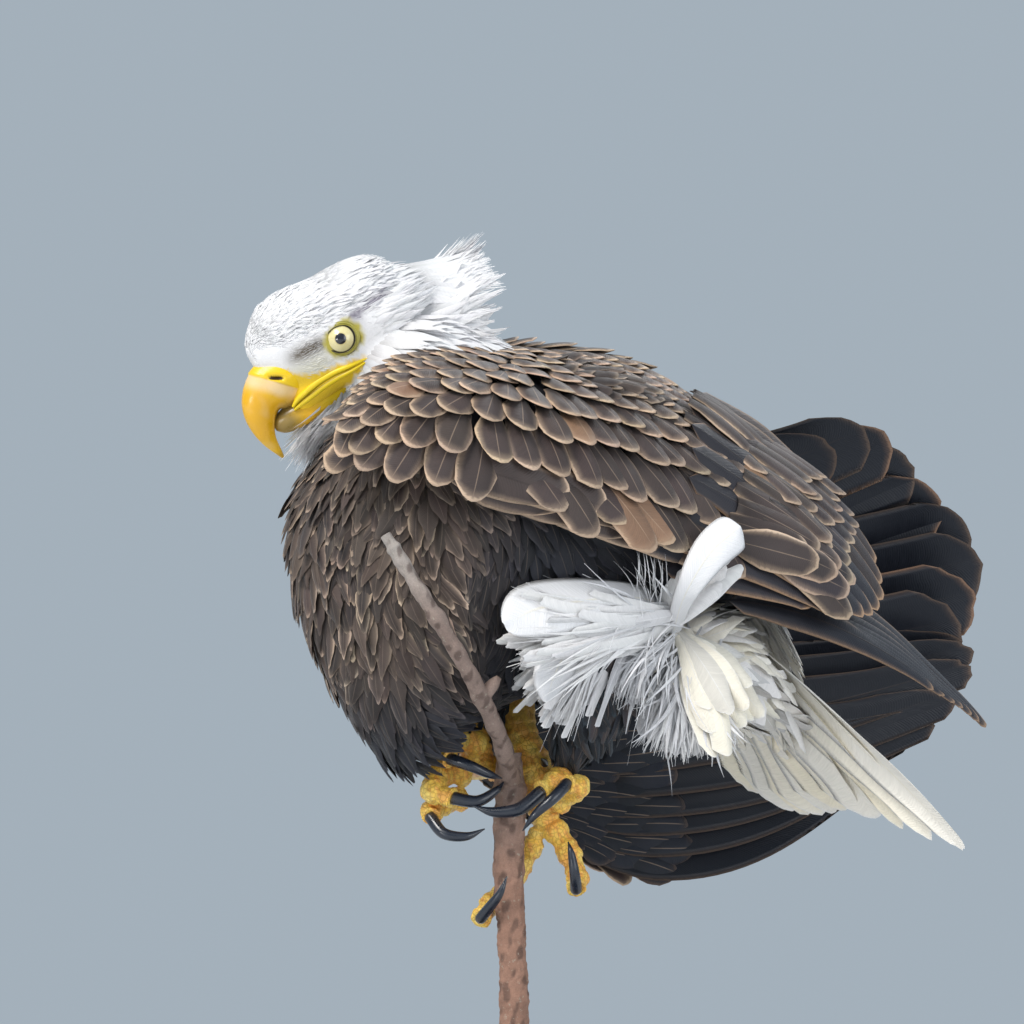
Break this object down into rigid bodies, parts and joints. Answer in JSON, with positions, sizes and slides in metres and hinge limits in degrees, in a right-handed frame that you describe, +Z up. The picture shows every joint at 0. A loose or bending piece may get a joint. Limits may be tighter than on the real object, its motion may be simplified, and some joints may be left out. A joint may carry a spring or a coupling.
{
  "type": "bald eagle figure",
  "caption": "Life-size still model of a bald eagle gripping an upright branch, one wing folded and one half open, on a round display stand.",
  "frame": {"origin": "on the underside of the stand's round base, straight below the branch that the bird grips", "axes": "+Z up, -Y the way the breast faces, +X the bird's left side"},
  "size_m": [0.3532, 0.6214, 0.693],
  "materials": {
    "body_feather": "matte",
    "flight_feather": "satin",
    "white_feather": "matte",
    "bill_horn": "satin",
    "toe_skin": "satin",
    "claw_horn": "gloss",
    "eye_glaze": "gloss",
    "bark": "rough",
    "stand_finish": "satin"
  },
  "bodies": {
    "root": {"bill_lower": "bill_horn", "bill_upper": "bill_horn", "blown_covert_front": "white_feather", "blown_covert_low": "white_feather", "blown_covert_top": "white_feather", "claw_left_1": "claw_horn", "claw_left_2": "claw_horn", "claw_left_3": "claw_horn", "claw_left_4": "claw_horn", "claw_right_1": "claw_horn", "claw_right_2": "claw_horn", "claw_right_3": "claw_horn", "claw_right_4": "claw_horn", "eye_left": "eye_glaze", "eye_right": "eye_glaze", "hackles": "white_feather", "head": "white_feather", "neck": "white_feather", "perch_knot": "bark", "perch_stem": "bark", "perch_twig": "bark", "stand_base": "stand_finish", "stand_rod": "stand_finish", "tail": "white_feather", "tail_coverts": "white_feather", "tarsus_left": "toe_skin", "tarsus_right": "toe_skin", "thigh_left": "body_feather", "thigh_right": "body_feather", "toe_left_1": "toe_skin", "toe_left_2": "toe_skin", "toe_left_3": "toe_skin", "toe_left_4": "toe_skin", "toe_right_1": "toe_skin", "toe_right_2": "toe_skin", "toe_right_3": "toe_skin", "toe_right_4": "toe_skin", "trunk": "body_feather", "wing_left_arm": "body_feather", "wing_left_primaries": "flight_feather", "wing_left_secondaries": "flight_feather", "wing_right_forearm": "body_feather", "wing_right_hand": "body_feather", "wing_right_primaries": "flight_feather", "wing_right_secondaries": "flight_feather", "wing_right_upper": "body_feather"}
  },
  "joints": []
}
